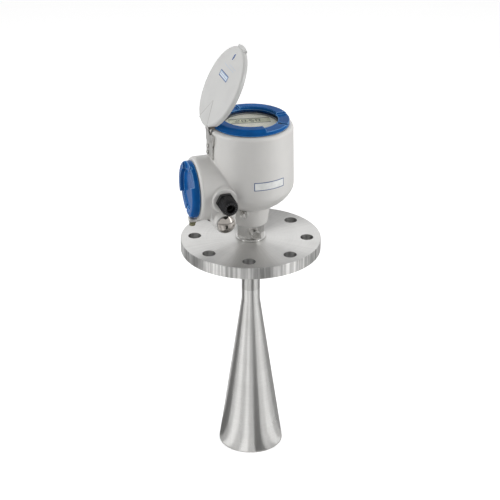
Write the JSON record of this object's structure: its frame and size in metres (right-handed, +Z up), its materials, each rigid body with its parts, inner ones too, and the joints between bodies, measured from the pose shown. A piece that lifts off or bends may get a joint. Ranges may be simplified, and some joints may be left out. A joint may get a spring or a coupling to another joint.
{
  "type": "radar level transmitter",
  "caption": "Process radar level transmitter: flanged horn antenna under a drum housing with screwed covers, cable gland, plug and hinged sun cover.",
  "frame": {"origin": "on the device's vertical axis, in the flange's sealing face", "axes": "+Z up along the axis, away from the tank; the terminal cover looks towards -X and the cable entries towards -Y"},
  "size_m": [0.2, 0.2, 0.6209],
  "materials": {
    "flange_steel": "fine turned stainless, bright",
    "horn_steel": "brushed stainless",
    "turned_steel": "turned stainless, satin",
    "polished_steel": "polished stainless",
    "fastener_steel": "plain stainless fastener",
    "bracket_steel": "pressed stainless sheet",
    "bronze_steel": "dark bronze, satin",
    "stop_steel": "dark olive passivated",
    "housing_paint": "light grey satin powder coat on a casting",
    "lid_paint": "light grey satin paint on sheet",
    "cover_paint": "blue gloss paint on a casting",
    "retainer_metal": "turned, satin",
    "seal_rubber": "matt black",
    "gland_plastic": "black moulded, satin",
    "window_plastic": "white machined, waxy",
    "module_plastic": "dark moulded",
    "bezel_plastic": "pale moulded",
    "display_plastic": "pale yellow green display",
    "key_plastic": "grey moulded",
    "terminal_plastic": "green moulded",
    "wire_plastic": "brown moulded",
    "glass": "clear polished"
  },
  "bodies": {
    "process_connection": {"flange": "flange_steel", "feed_stub": "turned_steel", "antenna_horn": "horn_steel", "antenna_window": "window_plastic", "window_seal_ring": "seal_rubber", "stub_seal_ring": "seal_rubber"},
    "housing": {"coupling_hex": "turned_steel", "housing": "housing_paint", "radar_module": "module_plastic", "wire_feedthrough": "wire_plastic", "display_bezel": "bezel_plastic", "display_glass": "display_plastic", "terminal_block": "terminal_plastic", "terminal_screws": "fastener_steel", "gland_body": "gland_plastic", "gland_seal": "seal_rubber", "hinge_bracket": "bracket_steel", "bracket_screws": "fastener_steel", "hinge_pin": "bronze_steel"},
    "sun_cover": {"sun_cover": "lid_paint"},
    "window_gasket": {"window_gasket": "seal_rubber"},
    "window_cover": {"window_ring": "cover_paint", "window_glass": "glass", "glass_retainer": "retainer_metal"},
    "terminal_gasket": {"terminal_gasket": "seal_rubber"},
    "terminal_cover": {"terminal_cover": "cover_paint"},
    "key_up": {"key_up": "key_plastic"},
    "key_down": {"key_down": "key_plastic"},
    "key_enter": {"key_enter": "key_plastic"},
    "key_back": {"key_back": "key_plastic"},
    "lock_washer": {"lock_washer": "fastener_steel"},
    "lock_screw": {"lock_screw": "fastener_steel"},
    "stop_saddle": {"stop_saddle": "stop_steel"},
    "stop_screw": {"stop_screw": "stop_steel"},
    "gland_slip_ring": {"gland_slip_ring": "seal_rubber"},
    "gland_nut": {"gland_nut": "gland_plastic"},
    "plug_seal_ring": {"plug_seal_ring": "seal_rubber"},
    "blind_plug": {"blind_plug": "polished_steel"},
    "earth_clamp": {"earth_clamp": "fastener_steel"},
    "earth_screw": {"earth_screw": "fastener_steel"}
  },
  "joints": [
    {"name": "housing_swivel", "type": "hinge", "parent": "process_connection", "child": "housing", "pos_m": [0, 0, 0.044], "axis": [0, 0, 1], "continuous": true},
    {"name": "sun_cover_hinge", "type": "hinge", "parent": "housing", "child": "sun_cover", "pos_m": [-0.0605, 0, 0.2025], "axis": [0, -1, 0], "range_deg": [-62, 38]},
    {"name": "window_gasket_lift", "type": "slide", "parent": "housing", "child": "window_gasket", "axis": [0, 0, 1], "range_m": [0, 0.0121]},
    {"name": "window_cover_turn", "type": "hinge", "parent": "window_gasket", "child": "window_cover", "pos_m": [0, 0, 0.194], "axis": [0, 0, 1], "range_deg": [0, 2160]},
    {"name": "terminal_gasket_slide", "type": "slide", "parent": "housing", "child": "terminal_gasket", "axis": [-1, 0, 0], "range_m": [0, 0.0101]},
    {"name": "terminal_cover_turn", "type": "hinge", "parent": "terminal_gasket", "child": "terminal_cover", "pos_m": [-0.084, 0, 0.105], "axis": [-1, 0, 0], "range_deg": [0, 1800]},
    {"name": "lock_washer_slide", "type": "slide", "parent": "housing", "child": "lock_washer", "axis": [0, -1, 0], "range_m": [0, 0.00375]},
    {"name": "lock_screw_turn", "type": "hinge", "parent": "lock_washer", "child": "lock_screw", "pos_m": [0, -0.017, 0.0334], "axis": [0, -1, 0], "range_deg": [0, 1102]},
    {"name": "stop_saddle_drop", "type": "slide", "parent": "housing", "child": "stop_saddle", "axis": [0, 0, -1], "range_m": [0, 0.0024]},
    {"name": "stop_screw_turn", "type": "hinge", "parent": "stop_saddle", "child": "stop_screw", "pos_m": [-0.0875, -0.007, 0.0594], "axis": [0, 0, -1], "range_deg": [0, 1102]},
    {"name": "gland_slip_ring_slide", "type": "slide", "parent": "housing", "child": "gland_slip_ring", "axis": [0, -1, 0], "range_m": [0, 0.006]},
    {"name": "gland_nut_turn", "type": "hinge", "parent": "gland_slip_ring", "child": "gland_nut", "pos_m": [-0.0515, -0.0575, 0.103], "axis": [0, -1, 0], "range_deg": [0, 1469]},
    {"name": "plug_seal_slide", "type": "slide", "parent": "housing", "child": "plug_seal_ring", "axis": [0, -1, 0], "range_m": [0, 0.009]},
    {"name": "blind_plug_turn", "type": "hinge", "parent": "plug_seal_ring", "child": "blind_plug", "pos_m": [-0.0515, -0.053, 0.0705], "axis": [0, -1, 0], "range_deg": [0, 2204]},
    {"name": "earth_clamp_slide", "type": "slide", "parent": "housing", "child": "earth_clamp", "axis": [-0.6018, -0.7986, 0], "range_m": [0, 0.0028]},
    {"name": "earth_screw_turn", "type": "hinge", "parent": "earth_clamp", "child": "earth_screw", "pos_m": [-0.01775, -0.02356, 0.0675], "axis": [-0.6018, -0.7986, 0], "range_deg": [0, 1469]},
    {"name": "key_up_press", "type": "slide", "parent": "housing", "child": "key_up", "axis": [0, 0, -1], "range_m": [0, 0.0006], "stiffness_N_per_m": 600, "springref_m": -0.0005},
    {"name": "key_down_press", "type": "slide", "parent": "housing", "child": "key_down", "axis": [0, 0, -1], "range_m": [0, 0.0006], "stiffness_N_per_m": 600, "springref_m": -0.0005},
    {"name": "key_enter_press", "type": "slide", "parent": "housing", "child": "key_enter", "axis": [0, 0, -1], "range_m": [0, 0.0006], "stiffness_N_per_m": 600, "springref_m": -0.0005},
    {"name": "key_back_press", "type": "slide", "parent": "housing", "child": "key_back", "axis": [0, 0, -1], "range_m": [0, 0.0006], "stiffness_N_per_m": 600, "springref_m": -0.0005}
  ],
  "couplings": [
    {"joint": "window_gasket_lift", "follows": "window_cover_turn", "m_per_rad": 0.00031831},
    {"joint": "terminal_gasket_slide", "follows": "terminal_cover_turn", "m_per_rad": 0.00031831},
    {"joint": "lock_screw_turn", "follows": "lock_washer_slide", "rad_per_m": 5026.5},
    {"joint": "stop_screw_turn", "follows": "stop_saddle_drop", "rad_per_m": 7854},
    {"joint": "gland_nut_turn", "follows": "gland_slip_ring_slide", "rad_per_m": 4188.8},
    {"joint": "blind_plug_turn", "follows": "plug_seal_slide", "rad_per_m": 4188.8},
    {"joint": "earth_screw_turn", "follows": "earth_clamp_slide", "rad_per_m": 8976}
  ]
}
